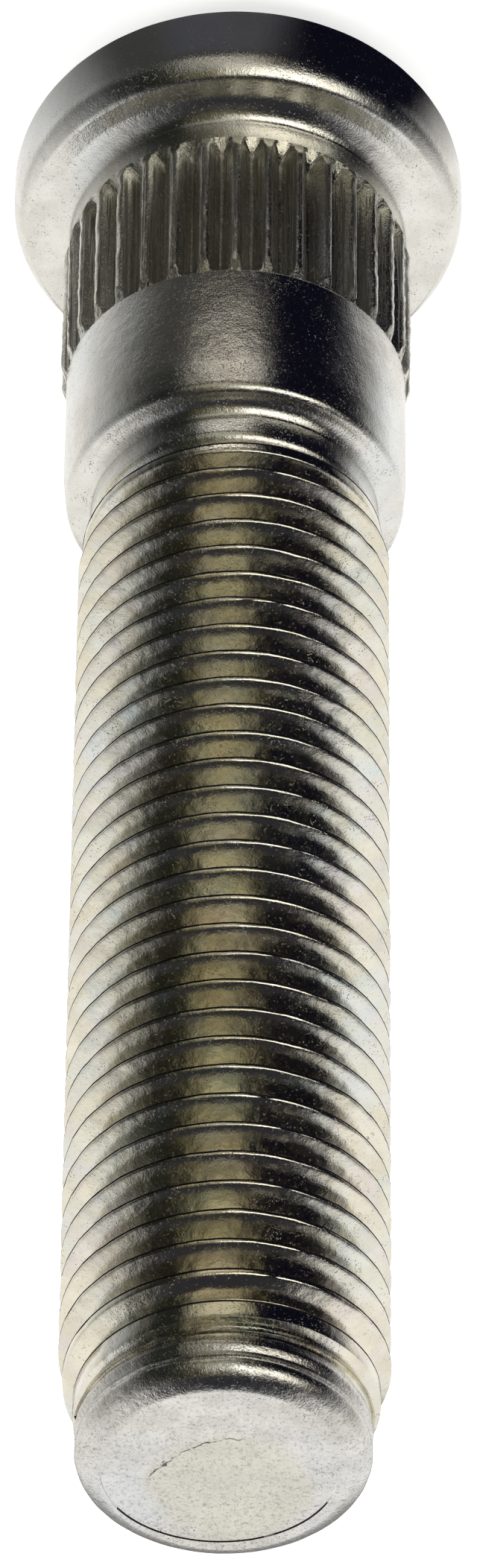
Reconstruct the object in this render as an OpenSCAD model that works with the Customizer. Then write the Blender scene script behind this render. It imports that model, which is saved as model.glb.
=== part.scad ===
// Wheel stud: one forged, serrated and thread-rolled piece of steel.
// It stands on its head. The head's end is at z = 0, its centre is the origin,
// and the shank points up. The thread is right-handed.

/* [Head] */
// Diameter of the head, mm
head_d = 16.5; // [15.5:0.1:20]
// Thickness of the head, mm
head_h = 4.35; // [3.9:0.05:6]
// Rounding of the head's outer end, mm
head_end_round = 2.25; // [0.5:0.05:2.5]
// Radius of the head's rounding next to the bearing face, mm
head_rim_round = 1.7; // [0.6:0.1:1.8]
// Width of that rounding, where it meets the bearing face in an edge, mm
head_rim = 0.5; // [0.1:0.05:0.6]
// Fillet between the bearing face and the shank, mm
head_fillet = 0.75; // [0.3:0.05:1]

/* [Shank] */
// Diameter of the shank: the collar under the head and the plain pilot, mm
shank_d = 12.3; // [12:0.05:12.5]
// Length of the collar between the bearing face and the serrations, mm
collar_len = 1.4; // [1.1:0.1:4]
// Length of the plain pilot up to its shoulder, mm
pilot_len = 5.9; // [3:0.1:15]
// Length of the slight taper at the pilot's end, mm
taper_len = 0.9; // [0.3:0.1:2]
// Depth of that taper, mm
taper_in = 0.07; // [0.02:0.01:0.2]
// Rounding of the pilot's shoulder, mm
pilot_round = 0.35; // [0.1:0.05:0.4]

/* [Serrations] */
// Number of serrations
serr_count = 34; // [30:1:40]
// Length of the serrated band, mm
serr_len = 6.9; // [3:0.1:15]
// Diameter over the crests, mm
serr_d = 12.72; // [12.6:0.02:13.1]
// Diameter over the valley floors, mm
serr_floor_d = 11.5; // [11.2:0.05:11.8]
// Width of a crest, mm
serr_crest_w = 0.25; // [0.1:0.05:0.4]
// Width of a valley floor, mm
serr_floor_w = 0.1; // [0.05:0.05:0.2]
// Length of the slope at each end of a crest, mm
crest_slope = 0.6; // [0.3:0.05:1]
// Length of the slope at the head end of a valley, mm
valley_slope = 0.7; // [0.3:0.05:1]

/* [Thread] */
// Major diameter of the thread, mm
thread_d = 11.1; // [10.9:0.05:11.4]
// Pitch of the thread, mm
thread_pitch = 1.27; // [1.1:0.01:1.5]
// Length from the pilot's shoulder to the end of the stud, mm
thread_len = 44.3; // [15:0.1:60]
// Length of the plain neck between the shoulder and the thread, mm
neck_len = 1.25; // [0.7:0.05:3]
// Fillet between the shoulder and the neck, mm
neck_fillet = 0.55; // [0.1:0.05:0.6]
// Length of the cone from the neck down to the first root, mm
neck_cone = 0.6; // [0.3:0.05:1]
// Length over which the first turns reach their full depth, mm
run_in = 1.8; // [0.5:0.1:4]
// Length of the cone that cuts the last turns down, mm
run_out = 2.2; // [1:0.1:5]
// Direction in which the thread's first turn starts, degrees
thread_start = -73; // [-180:1:180]
// Flat steps in one turn of the thread
turn_steps = 24; // [16:4:28]

/* [Tip] */
// Diameter of the plain end, mm
tip_d = 9.9; // [9.7:0.05:10.1]
// Length of the plain end, mm
tip_len = 1.7; // [1:0.1:3]
// Rounding of the plain end, mm
tip_round = 0.75; // [0.2:0.05:0.9]

/* [Hidden] */
$fn = 96;
zinc = [0.74, 0.72, 0.65];

// stations along the axis
face_z = head_h;
serr_z = face_z + collar_len;
pilot_z = serr_z + serr_len;
shoulder_z = pilot_z + pilot_len;
neck_z = shoulder_z + neck_len;
end_z = shoulder_z + thread_len;
tip_z = end_z - tip_len;
cone_z = tip_z - 0.4;

// radii; a thread flank leans 30 degrees and the crest and the root are each p/8 wide
shank_r = shank_d / 2;
serr_r = serr_d / 2;
serr_floor_r = serr_floor_d / 2;
thread_r = thread_d / 2;
lean = tan(30);
pitch_r = thread_r - thread_pitch * 3 / 16 / lean;
root_r = pitch_r - thread_pitch * 3 / 16 / lean;
neck_r = pitch_r + 0.015;
tip_r = tip_d / 2;

// a quarter disc, from the axes of its own corner outward
module quarter(r) {
    intersection() {
        circle(r);
        square(r);
    }
}

// the rim's rounding starts upright at rim_z and meets the bearing face in an edge
module head() {
    r = head_d / 2;
    arc_r = r - head_rim_round;
    rim_z = head_h - sqrt(head_rim * (2 * head_rim_round - head_rim));
    rotate_extrude() {
        square([r - head_end_round, head_h]);
        translate([0, head_end_round]) square([r, rim_z - head_end_round]);
        translate([0, rim_z - 0.3]) square([arc_r, head_h - rim_z + 0.3]);
        translate([r - head_end_round, head_end_round])
            mirror([0, 1]) quarter(head_end_round);
        intersection() {
            translate([arc_r, rim_z]) quarter(head_rim_round);
            translate([arc_r, rim_z]) square([head_rim_round, head_h - rim_z]);
        }
    }
}

// the ring of metal left in the corner between the bearing face and the collar
module face_fillet() {
    rotate_extrude()
        translate([shank_r, face_z]) difference() {
            translate([-0.3, -0.3]) square(head_fillet + 0.3);
            translate([head_fillet, head_fillet]) circle(head_fillet);
        }
}

// collar, the core under the serrations, and pilot
module shank() {
    core_r = serr_floor_r - 0.2;
    fall = (shank_r - core_r) / (shank_r - serr_floor_r);
    end_r = shank_r - taper_in;
    round_z = shoulder_z - pilot_round;
    rotate_extrude() {
        polygon([
            [0, face_z - 0.3], [shank_r, face_z - 0.3], [shank_r, serr_z],
            [core_r, serr_z + valley_slope * fall],
            [core_r, pilot_z - 0.4 * fall], [shank_r, pilot_z],
            [shank_r, round_z - taper_len], [end_r, round_z],
            [end_r - pilot_round, round_z], [end_r - pilot_round, shoulder_z], [0, shoulder_z]
        ]);
        translate([end_r - pilot_round, round_z]) quarter(pilot_round);
    }
}

// the toothed section, one valley and one crest for each serration
module tooth_section() {
    step = 360 / serr_count;
    crest_a = asin(serr_crest_w / 2 / serr_r);
    floor_a = asin(serr_floor_w / 2 / serr_floor_r);
    polygon([
        for (k = [0 : serr_count - 1])
            for (q = [[serr_r, -crest_a], [serr_r, crest_a],
                      [serr_floor_r, step / 2 - floor_a], [serr_floor_r, step / 2 + floor_a]])
                q[0] * [cos(k * step + q[1]), sin(k * step + q[1])]
    ]);
}

// the serrations, their crests sloping down to the shank at both ends
module serrations() {
    rise = (serr_r - shank_r) / crest_slope;
    over = 0.3;
    intersection() {
        translate([0, 0, serr_z - over]) rotate(-89.5)
            linear_extrude(serr_len + 2 * over) tooth_section();
        rotate_extrude()
            polygon([
                [0, serr_z - over], [shank_r - over * rise, serr_z - over],
                [serr_r + over * rise, serr_z + crest_slope + over],
                [serr_r + over * rise, pilot_z - crest_slope - over],
                [shank_r - over * rise, pilot_z + over], [0, pilot_z + over]
            ]);
    }
}

// plain neck, its fillet against the shoulder, and the cone down to the first root
module neck() {
    rotate_extrude() {
        polygon([
            [0, shoulder_z - 0.3], [neck_r, shoulder_z - 0.3], [neck_r, neck_z],
            [root_r - 0.02, neck_z + neck_cone], [0, neck_z + neck_cone]
        ]);
        translate([neck_r, shoulder_z]) difference() {
            translate([-0.3, -0.3]) square(neck_fillet + 0.3);
            translate([neck_fillet, neck_fillet]) circle(neck_fillet);
        }
    }
}

module tip() {
    rotate_extrude() {
        translate([0, tip_z]) square([tip_r, tip_len - tip_round]);
        translate([0, tip_z]) square([tip_r - tip_round, tip_len]);
        translate([tip_r - tip_round, end_z - tip_round]) quarter(tip_round);
    }
}

// 0 below a, 1 above b, and a straight rise between them
function rise(z, a, b) = min(1, max(0, (z - a) / (b - a)));

// radius of the crest and of the root at height z: the die works in over run_in,
// and the blank's coned end leaves the last turns short
function crest_r(z) =
    min(pitch_r + (thread_r - pitch_r) * rise(z, neck_z, neck_z + run_in),
        thread_r + (tip_r - 0.03 - thread_r) * rise(z, cone_z - run_out, cone_z));
function floor_r(z) = root_r + (tip_r - 0.06 - root_r) * rise(z, cone_z - 0.8, tip_z);

// height of a crest's or a root's edge, s = -1 below and 1 above its middle m
function crest_edge(m, s) =
    let (z = m + s * (thread_pitch / 4 - (crest_r(m) - pitch_r) * lean))
    m + s * (thread_pitch / 4 - (crest_r(z) - pitch_r) * lean);
function floor_edge(m, s) = m + s * (thread_pitch / 4 - (pitch_r - floor_r(m)) * lean);

// one closed skin: four helical lines to a turn, two on the crest and two in the root,
// with the lines beyond each end pressed together so that the ends close
module thread() {
    p = thread_pitch;
    n = turn_steps;
    z0 = neck_z - 0.3;
    z1 = tip_z + 0.3;
    turns = ceil((z1 - z0) / p + 2.5);
    last = 4 * turns - 5;

    function press(z) = z < z0 ? z0 + (z - z0) * 0.05 : z > z1 ? z1 + (z - z1) * 0.05 : z;
    function point(line, i) =
        let (k = line % 4,
             m = z0 - p + p * (floor(line / 4) + i / n) + (k < 2 ? 0 : p / 2),
             s = k % 2 == 0 ? -1 : 1,
             z = k < 2 ? crest_edge(m, s) : floor_edge(m, s),
             r = k < 2 ? crest_r(z) : floor_r(m),
             a = thread_start + 360 * i / n)
        [r * cos(a), r * sin(a), press(z)];
    // place of a point in the list; a line's step n is the start of the line one turn up
    function at(line, i) = i < n ? line * n + i : (line + 4) * n;
    function fan(loop, c) =
        [for (k = [0 : len(loop) - 1]) [loop[k], loop[(k + 1) % len(loop)], c]];

    points = [for (line = [0 : 4 * turns - 1]) for (i = [0 : n - 1]) point(line, i)];
    walls = [
        for (line = [0 : last - 1]) for (i = [0 : n - 1])
            each [[at(line, i), at(line + 1, i + 1), at(line, i + 1)],
                  [at(line, i), at(line + 1, i), at(line + 1, i + 1)]]
    ];
    low = concat([for (i = [0 : n]) at(0, i)], [for (k = [3 : -1 : 1]) at(k, 0)]);
    high = concat([for (k = [0 : 3]) at(last + k, 0)], [for (i = [n : -1 : 1]) at(last, i)]);

    polyhedron(points = concat(points, [[0, 0, z0 - 0.2], [0, 0, z1 + 0.2]]),
               faces = concat(walls, fan(low, len(points)), fan(high, len(points) + 1)),
               convexity = 10);
}

module wheel_stud() {
    color(zinc) union() {
        head();
        face_fillet();
        shank();
        serrations();
        neck();
        thread();
        tip();
    }
}

wheel_stud();
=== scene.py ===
"""Wheel stud, dressed for the camera: a fine skin over the CAD stud, its zinc finish, a floor, light and
the camera. The stud stands on its head and the thread points up. Its sizes are in millimetres here, as in
the part's source; the studio round it is in metres."""

import math

import bpy
import numpy as np
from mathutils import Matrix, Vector, noise


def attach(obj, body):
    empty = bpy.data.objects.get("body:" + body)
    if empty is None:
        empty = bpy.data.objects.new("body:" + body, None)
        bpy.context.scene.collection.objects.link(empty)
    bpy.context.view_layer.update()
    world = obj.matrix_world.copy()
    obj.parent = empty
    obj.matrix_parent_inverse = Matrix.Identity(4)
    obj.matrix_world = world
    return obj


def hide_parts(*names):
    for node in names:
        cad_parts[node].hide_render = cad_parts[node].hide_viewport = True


MM = 0.001

# sizes of the stud, the same names and values as in the part's source
HEAD_D, HEAD_H, HEAD_FILLET = 16.5, 4.35, 0.75
HEAD_END_ROUND, HEAD_RIM_ROUND, HEAD_RIM = 2.25, 1.7, 0.5
SHANK_D, COLLAR_LEN, PILOT_LEN = 12.3, 1.4, 5.9
TAPER_LEN, TAPER_IN, PILOT_ROUND = 0.9, 0.07, 0.35
SERR_COUNT, SERR_LEN, SERR_D, SERR_FLOOR_D = 34, 6.9, 12.72, 11.5
SERR_CREST_W, SERR_FLOOR_W, CREST_SLOPE, VALLEY_SLOPE = 0.25, 0.1, 0.6, 0.7
THREAD_D, THREAD_PITCH, THREAD_LEN, THREAD_START = 11.1, 1.27, 44.3, -73
NECK_LEN, NECK_CONE, RUN_IN, RUN_OUT = 1.25, 0.6, 1.8, 2.2
TIP_D, TIP_LEN = 9.9, 1.7

# stations along the axis and radii
FACE_Z = HEAD_H
SERR_Z = FACE_Z + COLLAR_LEN
PILOT_Z = SERR_Z + SERR_LEN
SHOULDER_Z = PILOT_Z + PILOT_LEN
NECK_Z = SHOULDER_Z + NECK_LEN
END_Z = SHOULDER_Z + THREAD_LEN
TIP_Z = END_Z - TIP_LEN
CONE_Z = TIP_Z - 0.4
SHANK_R, SERR_R, SERR_FLOOR_R = SHANK_D / 2, SERR_D / 2, SERR_FLOOR_D / 2
THREAD_R, TIP_R = THREAD_D / 2, TIP_D / 2
LEAN = math.tan(math.radians(30))
PITCH_R = THREAD_R - THREAD_PITCH * 3 / 16 / LEAN
ROOT_R = PITCH_R - THREAD_PITCH * 3 / 16 / LEAN
NECK_R = PITCH_R + 0.015

# direction of the first serration in degrees, and the slope at the tip end of a valley, as in the source
FIRST_SERRATION = -89.5
VALLEY_END_SLOPE = 0.4

# steps of the skin: round the axis in a lathed shell, in one turn of the thread, and up one serration
LATHE_STEPS, THREAD_STEPS, SERR_STEPS = 192, 96, 28
# where two faces meet at a larger angle than this, in degrees, the edge between them isn't smoothed
SHARP_ANGLE = 38

# material slots of the skin; the fourth is near-black, painted shade along the thread's crest edges and
# seams and in the end face's groove
BODY, TEETH, THREAD, SEAM_SHADE, TIP, END_FACE = range(6)


class Skin:
    """Collects rows of points into closed shells, which become one mesh."""

    def __init__(self):
        self.points, self.faces, self.slots = [], [], []
        self.count = 0

    def add_points(self, points):
        start = self.count
        self.points.append(points)
        self.count += len(points)
        return start

    def shell(self, rows, slots):
        """rows: (n, m, 3), each row a ring that runs round the axis; a fan closes each of the end rings.
        slots gives a material slot to each strip between two rows, or a list of them to its faces."""
        n, m = rows.shape[:2]
        start = self.add_points(rows.reshape(-1, 3))
        around = np.arange(m)
        beside = (around + 1) % m
        for k in range(n - 1):
            a, b = start + k * m, start + (k + 1) * m
            quads = np.stack([a + around, a + beside, b + beside, b + around], axis=1)
            self.faces.extend(quads.tolist())
            self.slots.extend([slots[k]] * m if isinstance(slots[k], int) else slots[k])
        for row, flip in ((0, True), (n - 1, False)):
            middle = self.add_points(rows[row].mean(axis=0, keepdims=True))
            a = start + row * m
            for i, j in zip(around.tolist(), beside.tolist()):
                self.faces.append([a + j, a + i, middle] if flip else [a + i, a + j, middle])
                self.slots.append(slots[min(row, n - 2)])

    def mesh(self, name):
        mesh = bpy.data.meshes.new(name)
        mesh.from_pydata((np.concatenate(self.points) * MM).tolist(), [], self.faces)
        mesh.polygons.foreach_set("material_index", self.slots)
        mesh.polygons.foreach_set("use_smooth", [True] * len(self.faces))
        mesh.set_sharp_from_angle(angle=math.radians(SHARP_ANGLE))
        mesh.update()
        return mesh


def arc(r, z, radius, start, end, steps):
    """Points of an arc in the (radius, height) plane; angles in degrees, 0 points outward and 90 up."""
    turn = [math.radians(start + (end - start) * k / steps) for k in range(steps + 1)]
    return [(r + radius * math.cos(a), z + radius * math.sin(a)) for a in turn]


# The two hollow corners, as (distance from the cylinder, height over the flat) in shares of their size.
# Both leave the flat slowly and meet the cylinder in a soft edge. The head's is nearly a cone.
HEAD_HOLLOW = ((1.16, 0.0), (1.02, 0.03), (0.87, 0.085), (0.62, 0.23), (0.37, 0.395), (0.24, 0.485),
               (0.15, 0.575), (0.08, 0.66), (0.035, 0.735), (0.012, 0.81), (0.003, 0.9), (0.0, 1.0))
NECK_HOLLOW = ((1.13, 0.0), (0.93, 0.04), (0.73, 0.12), (0.56, 0.215), (0.43, 0.3), (0.32, 0.39),
               (0.23, 0.49), (0.135, 0.61), (0.055, 0.73), (0.015, 0.83), (0.0, 0.93))
NECK_HOLLOW_SIZE = 0.5


def hollow_corner(r, z, size, hollow):
    """The hollow corner between the flat at height z and the cylinder of radius r."""
    return [(r + out * size, z + up * size) for out, up in hollow]


def lathe(profile, steps=LATHE_STEPS):
    """Rings of points for a profile of (radius, height) pairs."""
    a = np.radians(np.arange(steps) * 360 / steps)
    r, z = np.array(profile).T
    return np.stack([r[:, None] * np.cos(a), r[:, None] * np.sin(a), np.repeat(z[:, None], steps, 1)], 2)


def roughened(rows, depth, size, seed=0.0):
    """Moves points along their radius by a soft noise: depth and size of the unevenness in mm.
    The noise is shifted inward, so that the skin stays inside the CAD stud's box."""
    shift, core_r = 0.8, 0.5
    flat = rows.reshape(-1, 3)
    moved = flat.copy()
    for k, p in enumerate(flat):
        r = math.hypot(p[0], p[1])
        if r > core_r:
            push = depth * (noise.noise(Vector(p) / size + Vector((seed, 0, 0))) - shift)
            moved[k, :2] *= (r + push) / r
    return moved.reshape(rows.shape)


def add_head(skin):
    """Head, bearing face, hollow corner and collar; it goes on a little way inside the serrations."""
    r = HEAD_D / 2
    end_r, face_r = r - HEAD_END_ROUND, r - HEAD_RIM
    rim_z = HEAD_H - math.sqrt(HEAD_RIM * (2 * HEAD_RIM_ROUND - HEAD_RIM))
    rim_turn = math.degrees(math.acos(1 - HEAD_RIM / HEAD_RIM_ROUND))
    # the flat end and its rounding
    profile = [(2.0, 0), (end_r - 1.0, 0), (end_r - 0.1, 0)]
    profile += arc(end_r, HEAD_END_ROUND, HEAD_END_ROUND, -90, 0, 14)
    # the rim; its rounding stops short of the edge, which is broken a little
    profile += [(r, (HEAD_END_ROUND + rim_z) / 2)]
    profile += arc(r - HEAD_RIM_ROUND, rim_z, HEAD_RIM_ROUND, 0, rim_turn - 1.5, 10)
    profile += [(face_r - 0.05, FACE_Z - 0.008), (face_r - 0.12, FACE_Z)]
    # the hollow corner, the collar, and the end that is hidden in the serrations
    profile += hollow_corner(SHANK_R, FACE_Z, HEAD_FILLET, HEAD_HOLLOW)
    profile += [(SHANK_R, SERR_Z - 0.06), (SHANK_R, SERR_Z), (SERR_FLOOR_R - 0.5, SERR_Z + 0.3)]
    rows = roughened(lathe(profile), depth=0.012, size=1.1)
    rows[:, :, 2] = np.maximum(rows[:, :, 2], 0)
    skin.shell(rows, [BODY] * len(profile))


def bend_angles():
    """Where the toothed section bends: the edges of crest and floor, in radians from a crest's middle."""
    crest = math.asin(SERR_CREST_W / 2 / SERR_R)
    return crest, math.radians(180 / SERR_COUNT) - math.asin(SERR_FLOOR_W / 2 / SERR_FLOOR_R)


def tooth_angles():
    """Angles across one serration, in degrees from the crest's middle, close together where it bends."""
    crest, floor = (math.degrees(a) for a in bend_angles())
    side = [crest * 0.55, crest * 0.9, crest * 1.12, crest * 1.5]
    side += [(crest + floor) / 2, floor - 0.45, floor - 0.05, floor + 0.25]
    return [-a for a in reversed(side)] + [0.0] + side + [180 / SERR_COUNT]


def tooth_radius(angle):
    """Radius of the toothed section at an angle from a crest's middle. The flank is a straight line.
    Wear rounds the crest and the flank's upper end, and a little fill lies in the valley and beside it."""
    crest_wear, floor_fill = 0.035, 0.012
    top_wear, top_share = 0.03, 0.12
    low_fill, low_share = 0.01, 0.1
    crest, floor = bend_angles()
    a = math.radians(abs(angle))
    if a <= crest:
        return SERR_R - crest_wear * (a / crest) ** 4
    if a >= floor:
        return SERR_FLOOR_R + floor_fill
    top = np.array([math.cos(crest), math.sin(crest)]) * SERR_R
    low = np.array([math.cos(floor), math.sin(floor)]) * SERR_FLOOR_R
    along = low - top
    across = np.array([-math.sin(a), math.cos(a)])
    t = -across.dot(top) / across.dot(along)
    near_top = max(0.0, 1 - t / top_share)
    near_low = max(0.0, 1 - (1 - t) / low_share)
    return float(np.hypot(*(top + t * along))) - top_wear * near_top + low_fill * near_low


def crest_lump(offset, a, z):
    """Unevenness of a crest at offset degrees from its middle: lumps of two sizes, and none beside it."""
    zone = 1.8
    if abs(offset) >= zone:
        return 0.0
    spot = Vector((math.cos(a) * 6, math.sin(a) * 6, z))
    lump = 0.05 * noise.noise(spot / 0.33) + 0.03 * noise.noise(spot / 0.9)
    return lump * (1 - (abs(offset) / zone) ** 2)


def tooth_column(offset, a):
    """(radius, height) of the points up one line of a tooth, whose ends slope to the shank and into it.
    offset is the line's place in degrees from the crest's middle, and a its angle round the stud."""
    hidden_in, hidden_up = 0.9, 0.3
    r = tooth_radius(offset)
    over = r - SHANK_R
    if over > 0:
        side, sag = 1, 1.0
        low = high = over / ((SERR_R - SHANK_R) / CREST_SLOPE)
    else:
        side, sag = -1, 1.4
        low = -over / ((SHANK_R - SERR_FLOOR_R) / VALLEY_SLOPE)
        high = -over / ((SHANK_R - SERR_FLOOR_R) / VALLEY_END_SLOPE)
    z0, z1 = SERR_Z + low, PILOT_Z - high
    soft = min(0.05, abs(over) * 0.3)
    corner_r = r - 0.25 * soft * side
    # the slope at the head end, which sags in the valleys, and its soft corner
    column = [(SHANK_R - hidden_in, SERR_Z - hidden_up), (SHANK_R, SERR_Z)]
    column += [(SHANK_R + over * min(t * sag, 0.85), SERR_Z + low * t) for t in (0.3, 0.65)]
    column += [(r - soft * side, z0 - soft * low / max(abs(over), 0.01)), (corner_r, z0)]
    # the line between the slopes, worn a little below the CAD's
    for k in range(SERR_STEPS + 1):
        z = z0 + 0.06 + (z1 - z0 - 0.12) * k / SERR_STEPS
        column.append((r + crest_lump(offset, a, z) - 0.012, z))
    # the slope at the tip end
    column += [(corner_r, z1)]
    column += [(SHANK_R + over * t, PILOT_Z - high * t) for t in (0.6, 0.25)]
    return column + [(SHANK_R, PILOT_Z), (SHANK_R - hidden_in, PILOT_Z + hidden_up)]


def add_serrations(skin):
    """The toothed band, built from columns of points that run up the lines of the teeth."""
    columns = []
    for tooth in range(SERR_COUNT):
        middle = tooth * 360 / SERR_COUNT + FIRST_SERRATION
        for offset in tooth_angles():
            a = math.radians(middle + offset)
            columns.append([(r * math.cos(a), r * math.sin(a), z) for r, z in tooth_column(offset, a)])
    rows = np.array(columns).transpose(1, 0, 2)
    skin.shell(rows, [TEETH] * len(rows))


def add_pilot(skin):
    """Plain pilot with its slight taper, the shoulder, the neck and the cone at the neck's end."""
    end_r = SHANK_R - TAPER_IN
    round_z = SHOULDER_Z - PILOT_ROUND
    taper_z = round_z - TAPER_LEN
    # from inside the serrations up the straight part, in six steps
    profile = [(SHANK_R - 1.2, PILOT_Z - 0.5), (SHANK_R, PILOT_Z), (SHANK_R, PILOT_Z + 0.06)]
    profile += [(SHANK_R, PILOT_Z + (taper_z - PILOT_Z) * k / 6) for k in range(1, 6)]
    # the taper, which begins and ends softly, and the shoulder
    profile += [(SHANK_R, taper_z - 0.1), (SHANK_R - 0.006, taper_z + 0.05)]
    profile += [(end_r + 0.03, round_z - 0.4), (end_r + 0.008, round_z - 0.1)]
    profile += arc(end_r - PILOT_ROUND, round_z, PILOT_ROUND, 8, 72, 6)
    # the neck and its cone, which goes on inside the thread
    profile += hollow_corner(NECK_R, SHOULDER_Z, NECK_HOLLOW_SIZE, NECK_HOLLOW)
    profile += [(NECK_R, NECK_Z - 0.08), (NECK_R - 0.02, NECK_Z + 0.05), (NECK_R - 0.075, NECK_Z + 0.16)]
    profile += [(NECK_R - 0.15, NECK_Z + 0.25), (ROOT_R, NECK_Z + 0.42)]
    profile += [(ROOT_R - 0.6, NECK_Z + NECK_CONE + 0.2)]
    rows = roughened(lathe(profile), depth=0.01, size=0.9, seed=7.0)
    skin.shell(rows, [BODY] * len(profile))


def rise(z, a, b):
    """0 below a, 1 above b, and a straight rise between them."""
    return min(1.0, max(0.0, (z - a) / (b - a)))


def crest_radius(z):
    """Radius of the crest: it rises over RUN_IN, and the blank's coned end leaves the last turns short."""
    start = PITCH_R + (THREAD_R - PITCH_R) * rise(z, NECK_Z, NECK_Z + RUN_IN)
    end = THREAD_R + (TIP_R - 0.03 - THREAD_R) * rise(z, CONE_Z - RUN_OUT, CONE_Z)
    return min(start, end)


def root_radius(z):
    """Radius of the root, which rises to the plain end's."""
    return ROOT_R + (TIP_R - 0.06 - ROOT_R) * rise(z, CONE_Z - 0.8, TIP_Z)


# points nearer than this to the height of a crest's middle are on its lips
LIP_HALF = 0.09
# the strips of one turn that get the near-black finish, painted shade along the crest's head-side edge and
# over its real rolled seam, and how far below the cone this painted shade ends
SEAM_SHADE_STRIPS = (5, 6, 7)
SEAM_SHADE_STOP = 0.3


def thread_profile(m):
    """(height, radius) of the lines of one turn, from the root below the crest whose middle is at m.
    The crest has a thin rolled seam along its head side; the root is rounded."""
    top, low = crest_radius(m), min(root_radius(m), crest_radius(m) - 0.02)
    quarter = THREAD_PITCH / 4
    crest_half = quarter - (top - PITCH_R) * LEAN
    root_half = quarter + (PITCH_R - low) * LEAN
    depth = min(1, top - low)
    seam = 0.06 * min(1, depth / 0.5)
    # down a flank from the crest's edge to the root; a point without a radius lies on the straight flank
    flank = [(crest_half + 0.028, top - 0.065 * depth), (crest_half + 0.028 + 0.05 * depth, None),
             (root_half - 0.07, None), (root_half - 0.02, low + 0.018)]
    flank = [(u, PITCH_R + (quarter - u) / LEAN if r is None else r) for u, r in flank]
    # across the crest from its head side: the edge, the seam between two lips, the top and the other edge
    crest = [(-crest_half + 0.004, top - 0.014), (-crest_half + 0.014, top - 0.003),
             (-crest_half + 0.05, top - seam), (-crest_half + 0.09, top - 0.003),
             (crest_half * 0.5, top), (crest_half - 0.006, top - 0.012)]
    below = [(m - u, r) for u, r in reversed(flank)]
    above = [(m + u, r) for u, r in crest + flank]
    return [(m - THREAD_PITCH / 2, low)] + below + above


def worn_point(a, m, z, r):
    """A thread's point after wear: one long soft noise for all of it, and dents and waves on the lips."""
    wear = 0.02 * noise.noise(Vector((math.cos(a) * 5.5, math.sin(a) * 5.5, m)) / 0.8)
    if abs(z - m) >= LIP_HALF:
        return z, r + wear * 0.2
    spot = Vector((math.cos(a) * r, math.sin(a) * r, z))
    dent = 0.05 * max(0.0, noise.noise(spot / 0.45) - 0.15)
    wave = 0.025 * noise.noise(spot / 0.6 + Vector((3, 0, 0))) + 0.012 * noise.noise(spot / 0.17)
    return z + wave, r + wear - dent


def pressed(z, r, z0, z1):
    """Presses the lines beyond the thread's ends, z0 and z1, together and hides them in neck and tip."""
    press, hidden_in = 0.05, 0.1
    if z < z0:
        return z0 + (z - z0) * press, min(r, NECK_R - hidden_in)
    if z > z1:
        return z1 + (z - z1) * press, min(r, TIP_R - hidden_in)
    return z, r


def add_thread(skin):
    """One closed skin: the lines of a turn run on into the next turn, and fans close both hidden ends."""
    steps = THREAD_STEPS
    z0, z1 = NECK_Z - 0.3, TIP_Z + 0.1
    turns = math.ceil((z1 - z0) / THREAD_PITCH + 2.5)
    # the number of lines is the same at any height
    per_turn = len(thread_profile(END_Z / 2))
    points = np.zeros((turns * per_turn, steps, 3))
    for i in range(steps):
        a = math.radians(THREAD_START + 360 * i / steps)
        for turn in range(turns):
            m = z0 - THREAD_PITCH + THREAD_PITCH * (turn + i / steps)
            for k, (z, r) in enumerate(thread_profile(m)):
                z, r = pressed(*worn_point(a, m, z, r), z0, z1)
                points[turn * per_turn + k, i] = (r * math.cos(a), r * math.sin(a), z)
    start = skin.add_points(points.reshape(-1, 3))
    last = per_turn * (turns - 1) - 1

    def at(line, i):
        return start + (line * steps + i if i < steps else (line + per_turn) * steps)

    for line in range(last):
        for i in range(steps):
            skin.faces.append([at(line, i), at(line, i + 1), at(line + 1, i + 1), at(line + 1, i)])
            # the crest's edge and seam strips: near-black, painted shade
            painted_seam_shade = line % per_turn in SEAM_SHADE_STRIPS and points[line, i, 2] < CONE_Z - SEAM_SHADE_STOP
            skin.slots.append(SEAM_SHADE if painted_seam_shade else THREAD)
    low = [at(0, i) for i in range(steps + 1)] + [at(k, 0) for k in range(per_turn - 1, 0, -1)]
    high = [at(last + k, 0) for k in range(per_turn)] + [at(last, i) for i in range(steps, 0, -1)]
    for loop, z in ((low, z0 - 0.2), (high, z1 + 0.2)):
        middle = skin.add_points(np.array([[0.0, 0.0, z]]))
        for k, corner in enumerate(loop):
            skin.faces.append([corner, loop[(k + 1) % len(loop)], middle])
            skin.slots.append(THREAD)


# the plain end's two laps as (depth, height over TIP_Z), from inside the last turn up to the rounding
TIP_LAPS = ((0.3, -0.9), (0.1, -0.4), (0.055, -0.15), (0.03, 0.0), (0.025, 0.07), (0.005, 0.15),
            (0.0, 0.21), (0.02, 0.31), (0.095, 0.43), (0.13, 0.51), (0.1, 0.59), (0.02, 0.71),
            (0.0, 0.78), (0.06, 0.83), (0.008, 0.89))
# its rounding: a flattened arc, by its half axes and by the angles where it starts and stops
TIP_ARC_WIDTH, TIP_ARC_HEIGHT, TIP_ARC_START, TIP_ARC_STOP, TIP_ARC_STEPS = 1.158, 0.789, 3, 72, 12
# the end face: centre and half axes, and a groove inside its edge as (share of the edge, depth); on the
# side away from the camera it gets painted shade
FACE_CENTRE, FACE_HALF = (0.15, 0.08), (4.0, 3.72)
FACE_EDGE = ((1.0, 0.0), (0.992, 0.0), (0.983, 0.045), (0.972, 0.012))
FACE_FLAT, FACE_DEPTH, FACE_DISH, FACE_RINGS = 0.95, 0.02, 0.03, 9


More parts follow.
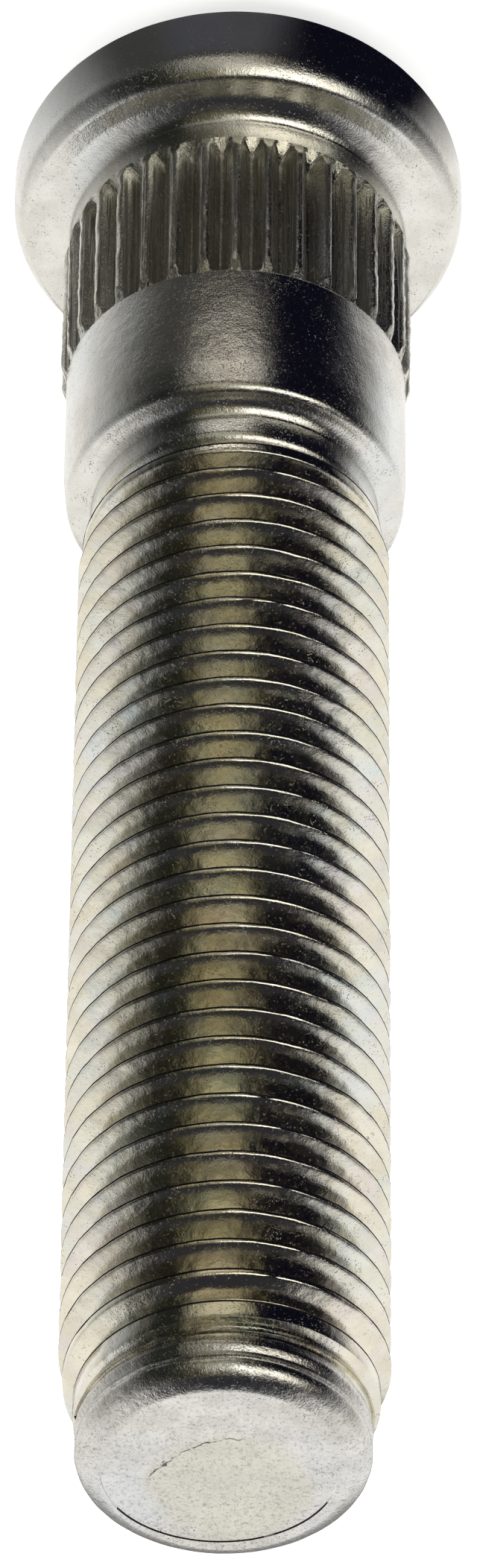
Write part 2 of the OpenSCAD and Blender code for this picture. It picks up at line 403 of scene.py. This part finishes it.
def end_face(a, far):
    """Rings of the end face from its edge inward, at the angles a; the groove's depth goes with far."""
    edge = np.stack([FACE_CENTRE[0] + FACE_HALF[0] * np.cos(a), FACE_CENTRE[1] + FACE_HALF[1] * np.sin(a),
                     np.full(len(a), END_Z - 0.006)], 1)
    rings = [(share, depth * far) for share, depth in FACE_EDGE]
    for k in range(FACE_RINGS):
        dish = FACE_DISH * math.sin(math.pi * k / (2 * FACE_RINGS))
        rings.append((FACE_FLAT * (1 - k / FACE_RINGS), FACE_DEPTH + dish))
    placed = []
    for share, drop in rings:
        ring = edge.copy()
        ring[:, :2] *= share
        ring[:, 2] -= drop
        placed.append(ring)
    return np.array(placed)


def add_tip(skin):
    """Plain end: a cylinder with laps rolled round it, its rounding, and the face with a broken edge."""
    profile = [(TIP_R - depth, TIP_Z + up) for depth, up in TIP_LAPS]
    top = math.sin(math.radians(TIP_ARC_STOP))
    for k in range(TIP_ARC_STEPS + 1):
        a = math.radians(TIP_ARC_START + (TIP_ARC_STOP - TIP_ARC_START) * k / TIP_ARC_STEPS)
        r = TIP_R - TIP_ARC_WIDTH * (1 - math.cos(a))
        profile.append((r, END_Z + TIP_ARC_HEIGHT * (math.sin(a) - top)))
    profile += [(TIP_R - 0.85, END_Z - 0.002)]
    rows = roughened(lathe(profile), depth=0.02, size=0.7, seed=3.0)
    a = np.radians(np.arange(LATHE_STEPS) * 360 / LATHE_STEPS)
    # the groove along the face's edge runs on the side away from the camera, and is broken there; its
    # near-black finish there is painted shade in the groove
    far = np.clip(0.3 + np.sin(a), 0, 1)
    face = end_face(a, far)
    broken = [0.5 * noise.noise(Vector((6 * math.cos(t), 6 * math.sin(t), 0))) for t in a]
    dark = [SEAM_SHADE if f + b > 0.7 else END_FACE for f, b in zip(far, broken)]
    slots = [TIP] * len(profile) + [END_FACE, dark] + [END_FACE] * (len(face) - 2)
    skin.shell(np.concatenate([rows, face]), slots)


def build_skin():
    skin = Skin()
    add_head(skin)
    add_serrations(skin)
    add_pilot(skin)
    add_thread(skin)
    add_tip(skin)
    stud = bpy.data.objects.new("stud_skin", skin.mesh("stud_skin"))
    bpy.context.scene.collection.objects.link(stud)
    return stud


class Web:
    """Adds nodes to a tree, with their settings and with inputs that are values or other nodes' outputs.
    Colours are (red, green, blue)."""

    def __init__(self, tree):
        self.tree = tree
        tree.nodes.clear()

    def add(self, kind, inputs=None, **settings):
        node = self.tree.nodes.new("ShaderNode" + kind)
        for name, value in settings.items():
            setattr(node, name, value)
        for name, value in (inputs or {}).items():
            if isinstance(value, bpy.types.NodeSocket):
                self.tree.links.new(value, node.inputs[name])
            elif node.inputs[name].type == "RGBA":
                node.inputs[name].default_value = (*value, 1.0)
            else:
                node.inputs[name].default_value = value
        return node

    def noise(self, place, scale, detail=2.0, rough=0.5):
        inputs = {"Vector": place, "Scale": scale, "Detail": detail, "Roughness": rough}
        return self.add("TexNoise", inputs).outputs["Fac"]

    def remap(self, value, a, b, to_a=0.0, to_b=1.0):
        """Goes softly from to_a to to_b while value goes from a to b."""
        inputs = {"Value": value, "From Min": a, "From Max": b, "To Min": to_a, "To Max": to_b}
        return self.add("MapRange", inputs, interpolation_type="SMOOTHSTEP").outputs["Result"]

    def window(self, value, start, full, last, end):
        """1 between full and last, 0 outside start and end, with soft edges."""
        return self.times(self.remap(value, start, full), self.remap(value, end, last))

    def math(self, kind, a, b=0.0):
        return self.add("Math", {0: a, 1: b}, operation=kind).outputs[0]

    def times(self, a, b):
        return self.math("MULTIPLY", a, b)

    def larger(self, a, b):
        return self.math("MAXIMUM", a, b)

    def mix(self, share, a, b, blend="MIX"):
        return self.add("Mix", {0: share, 6: a, 7: b}, data_type="RGBA", blend_type=blend).outputs[2]

    def scaled(self, place, by):
        return self.add("VectorMath", {0: place, 1: by}, operation="MULTIPLY").outputs[0]

    def length(self, place):
        return self.add("VectorMath", {0: place}, operation="LENGTH").outputs["Value"]

    def split(self, place):
        return self.add("SeparateXYZ", {0: place}).outputs


def new_material(name):
    mat = bpy.data.materials.new(name)
    mat.use_nodes = True
    return mat, Web(mat.node_tree)


# sizes of the plating's noises, in features to a metre: 1000 is one to a millimetre
WIDE, CLOUD, FINE, CELLS, CLUSTER = 170, 700, 13000, 11000, 900
WAVE, MOTTLE, SPARK = 420, 4800, 9500
FILM, GOLD_FILM = 330, 620

DIRT, PIT = (0.3, 0.28, 0.24), (0.05, 0.045, 0.04)
TEAL, VIOLET, GOLD = (0.8, 0.95, 1.0), (1.0, 0.9, 0.95), (1.0, 0.96, 0.8)


def zinc(name, pale, shade, rough, grain, mottle, wave, pits, tint=0.0, mark=None):
    """Zinc plating: clouded colour, fine dark specks in clusters, and unevenness at three scales.
    grain, mottle, wave and pits are depths in mm; tint is the share of a film of teal, violet and gold.
    mark(web, place, colour) adds what only this part of the stud has, on the teeth painted shade in the
    valleys too: it returns the colour and a mask of its grooves."""
    mat, web = new_material(name)
    place = web.add("TexCoord").outputs["Object"]
    # clouds of two sizes, fine grain, and pits that lie in clusters
    cloud = web.noise(place, CLOUD, 4.0, 0.6)
    wide = web.noise(place, WIDE)
    fine = web.noise(place, FINE, 3.0, 0.65)
    cells = web.add("TexVoronoi", {"Vector": place, "Scale": CELLS, "Randomness": 1.0})
    cluster = web.remap(web.noise(place, CLUSTER, 5.0, 0.75), 0.5, 0.68)
    pit = web.times(web.remap(cells.outputs["Distance"], 0.32, 0.12), cluster)
    # the colour goes with the clouds, is cooler in the wide ones, and has dirt in the grain and in the pits
    colour = web.mix(web.remap(cloud, 0.35, 0.68), shade, pale)
    cool = (pale[0] * 0.92, pale[1] * 0.97, pale[2] * 1.04)
    colour = web.mix(web.remap(wide, 0.45, 0.7, 0.0, 0.7), colour, cool)
    colour = web.mix(web.remap(fine, 0.42, 0.3, 0.0, 0.3), colour, DIRT)
    if tint:
        film = web.mix(web.remap(web.noise(place, FILM, 4.0, 0.7), 0.3, 0.7), TEAL, VIOLET)
        film = web.mix(web.remap(web.noise(place, GOLD_FILM, 4.0, 0.7), 0.3, 0.65), film, GOLD)
        colour = web.mix(tint, colour, web.mix(1.0, colour, film, "MULTIPLY"))
    colour = web.mix(web.times(pit, 0.75), colour, PIT)
    if mark:
        colour, groove = mark(web, place, colour)
        pit = web.larger(pit, groove)
    # pale clouds are smoother; pits and scattered grains are rougher
    roughness = web.remap(cloud, 0.3, 0.7, rough + 0.05, rough - 0.03)
    spark = web.remap(web.noise(place, SPARK), 0.62, 0.7, 0.0, 0.3)
    roughness = web.math("ADD", web.math("ADD", roughness, web.times(pit, 0.3)), spark)
    # each unevenness adds to the one before; a depth below 0 is a hollow
    normal = None
    wavy, mottled = web.noise(place, WAVE, 3.0, 0.55), web.noise(place, MOTTLE, 3.0, 0.6)
    for depth, height in ((wave, wavy), (mottle, mottled), (grain, fine), (-pits, pit)):
        bump = {"Strength": 1.0, "Distance": abs(depth) * MM, "Height": height}
        if normal is not None:
            bump["Normal"] = normal
        normal = web.add("Bump", bump, invert=depth < 0).outputs[0]
    surface = {"Base Color": colour, "Metallic": 1.0, "Roughness": roughness, "Normal": normal}
    shader = web.add("BsdfPrincipled", surface)
    web.add("OutputMaterial", {"Surface": shader.outputs[0]})
    return mat


def drawn_lines_and_valley_shade(web, place, colour):
    """The serrations: fine lines along the teeth, and painted shade that deepens towards the valleys.
    Both begin past the slope at the head end."""
    # a noise that is drawn out along the axis
    drawn = web.scaled(place, (1, 1, 0.02))
    line = web.remap(web.noise(drawn, 5200, 3.0, 0.7), 0.5, 0.6)
    # the distance from the axis
    reach = web.length(web.scaled(place, (1, 1, 0)))
    # darker towards the valleys, by up to 0.15 of a brown: painted shade
    low = web.remap(reach, SERR_R * 0.985 * MM, SERR_FLOOR_R * 1.01 * MM, 0.0, 0.15)
    past_slope = web.remap(web.split(place)[2], (SERR_Z + 0.5) * MM, (SERR_Z + 1.1) * MM)
    low, line = web.times(low, past_slope), web.times(line, past_slope)
    # the painted valley shade, then the dark fine lines
    colour = web.mix(low, colour, (0.2, 0.185, 0.15))
    return web.mix(web.times(line, 0.65), colour, (0.06, 0.055, 0.05)), line


def dust(web, place, colour, share):
    """Fine grey-brown specks, close together."""
    speck = web.remap(web.noise(place, 7000, 5.0, 0.85), 0.5, 0.64, 0.0, share)
    return web.mix(speck, colour, (0.22, 0.2, 0.18))


def dusty(web, place, colour):
    """The plain end: only dust, and no groove."""
    return dust(web, place, colour, 0.6), 0.0


def struck_face(web, place, colour):
    """The end face: a cream disc off its centre, and a broken dark line along part of the disc's edge."""
    disc_middle = (-0.3 * MM, 1.0 * MM, END_Z * MM)
    disc_full, disc_edge, disc_end = 2.3 * MM, 2.55 * MM, 3.1 * MM
    uneven = web.times(web.math("SUBTRACT", web.noise(place, 900, 4.0, 0.6), 0.5), 1.3 * MM)
    from_middle = web.add("VectorMath", {0: place, 1: disc_middle}, operation="DISTANCE").outputs["Value"]
    reach = web.math("ADD", from_middle, uneven)
    colour = web.mix(web.remap(reach, disc_end, disc_full, 0.0, 0.75), colour, (0.78, 0.76, 0.67))
    line = web.remap(web.math("ABSOLUTE", web.math("SUBTRACT", reach, disc_edge)), 0.05 * MM, 0.01 * MM)
    x, y = web.split(place)[:2]
    broken = web.remap(web.noise(place, 2200, 3.0, 0.6), 0.4, 0.5)
    broken = web.times(broken, web.remap(x, -0.9 * MM, -0.2 * MM))
    line = web.times(web.times(line, broken), web.remap(y, 0.9 * MM, 0.0))
    colour = dust(web, place, colour, 0.5)
    return web.mix(web.times(line, 0.8), colour, (0.1, 0.09, 0.08)), line


def dress(stud):
    """The stud's finishes, in the order of the slots."""
    finishes = (
        zinc("zinc_body", pale=(0.8, 0.785, 0.745), shade=(0.7, 0.68, 0.635), rough=0.13,
             grain=0.009, mottle=0.007, wave=0.05, pits=0.012),
        zinc("zinc_teeth", pale=(0.76, 0.74, 0.67), shade=(0.62, 0.6, 0.52), rough=0.2,
             grain=0.016, mottle=0.014, wave=0.02, pits=0.012, mark=drawn_lines_and_valley_shade),
        zinc("zinc_thread", pale=(0.83, 0.81, 0.75), shade=(0.73, 0.7, 0.63), rough=0.11,
             grain=0.006, mottle=0.008, wave=0.09, pits=0.01, tint=0.6),
        # near-black, painted shade: the thread's crest edges and seams and the end face's groove
        zinc("zinc_seam_shade", pale=(0.06, 0.05, 0.065), shade=(0.02, 0.017, 0.022), rough=0.5,
             grain=0.02, mottle=0.02, wave=0.01, pits=0.01),
        zinc("zinc_tip", pale=(0.78, 0.765, 0.74), shade=(0.62, 0.6, 0.57), rough=0.15,
             grain=0.012, mottle=0.014, wave=0.05, pits=0.012, mark=dusty),
        zinc("zinc_end", pale=(0.87, 0.855, 0.83), shade=(0.78, 0.76, 0.73), rough=0.36,
             grain=0.012, mottle=0.016, wave=0.05, pits=0.01, mark=struck_face),
    )
    for mat in finishes:
        stud.data.materials.append(mat)


def stage_object(name, mesh, material):
    mesh.materials.append(material)
    obj = bpy.data.objects.new(name, mesh)
    bpy.context.scene.collection.objects.link(obj)
    return obj


# steps round the axis of the floor, the hood and the sheet
STUDIO_STEPS = 96


def disc(name, radius, z):
    turn = np.linspace(0, 2 * math.pi, STUDIO_STEPS, False)
    points = [(radius * math.cos(a), radius * math.sin(a), z) for a in turn]
    mesh = bpy.data.meshes.new(name)
    mesh.from_pydata(points, [], [list(range(STUDIO_STEPS))])
    return mesh


def seen_by_eye(web):
    """1 for rays that make the picture, straight or by a reflection; 0 for those that light things."""
    path = web.add("LightPath").outputs
    indirect = web.larger(path["Is Glossy Ray"], path["Is Transmission Ray"])
    return web.larger(path["Is Camera Ray"], indirect)


# how far the floor glows in the picture, and the sky's strength as a light and as it is seen
FLOOR_GLOW, SKY_LIGHT, SKY_SEEN = 0.55, 0.7, 1.0


def make_floor():
    """A pale floor, white in the picture where no shadow falls."""
    mat, web = new_material("pale_floor")
    glow = web.add("Emission", {"Color": (1, 1, 1), "Strength": web.times(seen_by_eye(web), FLOOR_GLOW)})
    plain = web.add("BsdfDiffuse", {"Color": (0.8, 0.8, 0.79)})
    both = web.add("AddShader", {0: glow.outputs[0], 1: plain.outputs[0]})
    web.add("OutputMaterial", {"Surface": both.outputs[0]})
    stage_object("pale_floor", disc("pale_floor", 3.0, 0.0), mat)


# The studio's patterns. Angles round the stud are in degrees, heights are shares of the distance, and
# reaches on the floor are in metres. Left and right are the picture's.
# masks that come in and go out again, as (start, full, last, end)
STRIPE = (-22, -4, 13, 32)
BOX_TURN, BOX_RISE = (-64, -46, -10, 6), (0.14, 0.32, 0.6, 0.79)
RING = (0.0246, 0.0266, 0.0282, 0.0300)
# masks that come in and stay, as (start, full)
FRONT_TURN = (-10, 25)
OPEN_LEFT, OPEN_RIGHT = (50, 132), (-74, -118)
BEHIND_RISE, BEHIND_DEPTH = (0.45, 0.2), (0.86, 0.95)
STRIPE_RISE, OVERHEAD_RISE = (0.05, 0.45), (0.84, 0.93)
FOOT_LEFT, FOOT_RIGHT, FOOT_REACH = (36, 100), (-60, -96), (0.02, 0.015)
NEAR_TURN, NEAR_REACH = (0, 25), (0.035, 0.022)

FRONT_RIGHT, FRONT_LEFT = (0.004, 0.004, 0.010), (0.015, 0.017, 0.014)
STRIPE_LOW, STRIPE_HIGH = (0.52, 0.5, 0.45), (0.19, 0.168, 0.1)
BOX, OVERHEAD = (1.85, 1.79, 1.56), (0.03, 0.03, 0.036)
OPEN, BEHIND = (1.04, 1.03, 1.0), (0.05, 0.05, 0.05)
RING_BRIGHT, NEAR_LEFT = (2.3, 2.16, 1.9), (0.05, 0.05, 0.047)
# the stripe on the floor: its colour at the stud, and those further out, each as (start, full, colour)
FLOOR_FIRST = (0.07, 0.07, 0.08)
FLOOR_TONES = (
    (0.010, 0.019, (0.045, 0.042, 0.038)),
    (0.045, 0.075, (0.66, 0.61, 0.43)),
    (0.1, 0.15, (0.2, 0.185, 0.12)),
)


def round_the_stud(web, place):
    """What hood and sheet share, for each direction from the stud: its height, its angle round the stud
    (0 in front, positive to +X, which is on the left), the colour in front, and the masks of the stripe in
    the middle, of the open sides, and of the dark patch low behind."""
    unit = web.add("VectorMath", {0: place}, operation="NORMALIZE").outputs[0]
    x, y, z = web.split(unit)
    angle = web.times(web.math("ARCTAN2", x, web.times(y, -1.0)), 180 / math.pi)
    dark = web.mix(web.remap(angle, *FRONT_TURN), FRONT_RIGHT, FRONT_LEFT)
    stripe = web.window(angle, *STRIPE)
    open_side = web.larger(web.remap(angle, *OPEN_LEFT), web.remap(angle, *OPEN_RIGHT))
    behind = web.times(web.remap(z, *BEHIND_RISE), web.remap(y, *BEHIND_DEPTH))
    return z, angle, dark, stripe, open_side, behind


def finish_round(web, colour, open_side, behind):
    colour = web.mix(open_side, colour, OPEN)
    return web.mix(web.times(behind, 0.75), colour, BEHIND)


def hood_pattern(web, place):
    """Above the horizon: the stripe, and a soft box high up on the right; dark at the top."""
    z, angle, dark, stripe, open_side, behind = round_the_stud(web, place)
    tone = web.mix(web.remap(z, *STRIPE_RISE), STRIPE_LOW, STRIPE_HIGH)
    box = web.times(web.window(angle, *BOX_TURN), web.window(z, *BOX_RISE))
    colour = web.mix(box, web.mix(stripe, dark, tone), BOX)
    colour = finish_round(web, colour, open_side, behind)
    return web.mix(web.remap(z, *OVERHEAD_RISE), colour, OVERHEAD)


def sheet_pattern(web, place):
    """On the floor: the stripe is dark near the stud, has a bright ring round it and is golden further
    out. The open sides reach further to the front at the stud's foot, and the dark in front is a little
    paler near it on the left."""
    _, angle, dark, stripe, open_side, behind = round_the_stud(web, place)
    reach = web.length(place)
    tone = FLOOR_FIRST
    for start, full, colour in FLOOR_TONES:
        tone = web.mix(web.remap(reach, start, full), tone, colour)
    tone = web.mix(web.window(reach, *RING), tone, RING_BRIGHT)
    foot = web.larger(web.remap(angle, *FOOT_LEFT), web.remap(angle, *FOOT_RIGHT))
    open_side = web.larger(open_side, web.times(foot, web.remap(reach, *FOOT_REACH)))
    near = web.times(web.remap(reach, *NEAR_REACH), web.remap(angle, *NEAR_TURN))
    colour = web.mix(stripe, web.mix(near, dark, NEAR_LEFT), tone)
    return finish_round(web, colour, open_side, behind)


def make_card(name, mesh, pattern):
    """A card that glows in the colour that pattern gives for each direction from the stud. It shows only
    in the plating: the camera doesn't see it, and it neither lights nor shades the floor."""
    mat, web = new_material(name)
    place = web.add("TexCoord").outputs["Object"]
    card = web.add("Emission", {"Color": pattern(web, place), "Strength": 1.0})
    web.add("OutputMaterial", {"Surface": card.outputs[0]})
    obj = stage_object(name, mesh, mat)
    obj.visible_camera = obj.visible_diffuse = obj.visible_transmission = False
    obj.visible_shadow = obj.visible_volume_scatter = False


def make_cards():
    """The studio as the plating shows it: a hood all round and overhead, and a sheet on the floor."""
    hood_r, sheet_r, sheet_z = 0.9, 0.89, 0.0002
    lowest, highest, rings = -5, 88, 32
    rise_angles = np.radians(np.linspace(lowest, highest, rings))
    rows = lathe([(hood_r * math.cos(e), hood_r * math.sin(e)) for e in rise_angles], STUDIO_STEPS)
    n, m = rows.shape[:2]
    faces = [[k * m + i, k * m + (i + 1) % m, (k + 1) * m + (i + 1) % m, (k + 1) * m + i]
             for k in range(n - 1) for i in range(m)]
    faces.append([(n - 1) * m + i for i in range(m)])
    hood = bpy.data.meshes.new("front_hood")
    hood.from_pydata(rows.reshape(-1, 3).tolist(), [], faces)
    make_card("front_hood", hood, hood_pattern)
    make_card("front_sheet", disc("front_sheet", sheet_r, sheet_z), sheet_pattern)


# the soft lamps, as (name, place, watts), the length of their sides, and the point they are turned to
LAMPS = (("soft_left", (0.7, -0.2, 0.6), 3.0), ("soft_right", (-0.7, 0.1, 0.5), 2.5))
LAMP_SIZE, LAMP_AIM = 0.5, (0, 0, 0.03)


def soft_light(name, place, watts):
    """A square soft lamp that points at the middle of the stud and doesn't show in the plating."""
    lamp = bpy.data.lights.new(name, "AREA")
    lamp.shape, lamp.size, lamp.energy = "SQUARE", LAMP_SIZE, watts
    obj = bpy.data.objects.new(name, lamp)
    obj.location = place
    obj.rotation_euler = (Vector(LAMP_AIM) - Vector(place)).to_track_quat("-Z", "Y").to_euler()
    obj.visible_glossy = False
    bpy.context.scene.collection.objects.link(obj)


def make_light():
    """A white world, dimmer as a light than as it is seen, and two soft lamps."""
    world = bpy.data.worlds.new("studio")
    bpy.context.scene.world = world
    world.use_nodes = True
    web = Web(world.node_tree)
    strength = web.remap(seen_by_eye(web), 0, 1, SKY_LIGHT, SKY_SEEN)
    sky = web.add("Background", {"Color": (1, 1, 1), "Strength": strength})
    web.add("OutputWorld", {"Surface": sky.outputs[0]})
    for name, place, watts in LAMPS:
        soft_light(name, place, watts)


# the photo's camera: its place in mm, its turn in degrees, and its lens in mm for a sensor 36 mm wide
CAMERA_PLACE, CAMERA_TURN = (-0.2509, -263.245, 275.111), (-47.2798, 0.4636, -179.5719)
CAMERA_SENSOR, CAMERA_LENS = 36.0, 235.24


def make_camera():
    """A long lens close to the stud, 42.7 degrees above it and upside down, so that the tip is low."""
    data = bpy.data.cameras.new("camera")
    data.sensor_width, data.lens = CAMERA_SENSOR, CAMERA_LENS
    data.clip_start, data.clip_end = 0.01, 20.0
    cam = bpy.data.objects.new("camera", data)
    cam.location = Vector(CAMERA_PLACE) * MM
    cam.rotation_euler = [math.radians(a) for a in CAMERA_TURN]
    bpy.context.scene.collection.objects.link(cam)
    bpy.context.scene.camera = cam


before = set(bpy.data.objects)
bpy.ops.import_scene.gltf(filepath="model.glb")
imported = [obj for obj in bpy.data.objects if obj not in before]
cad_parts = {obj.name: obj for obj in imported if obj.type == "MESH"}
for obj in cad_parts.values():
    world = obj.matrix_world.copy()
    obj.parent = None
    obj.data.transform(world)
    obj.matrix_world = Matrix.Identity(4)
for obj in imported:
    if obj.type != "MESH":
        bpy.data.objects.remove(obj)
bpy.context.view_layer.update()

stud = build_skin()
dress(stud)
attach(stud, "root")
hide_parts("wheel_stud")

make_floor()
make_cards()
make_light()
make_camera()
bpy.context.scene.view_settings.view_transform = "Standard"
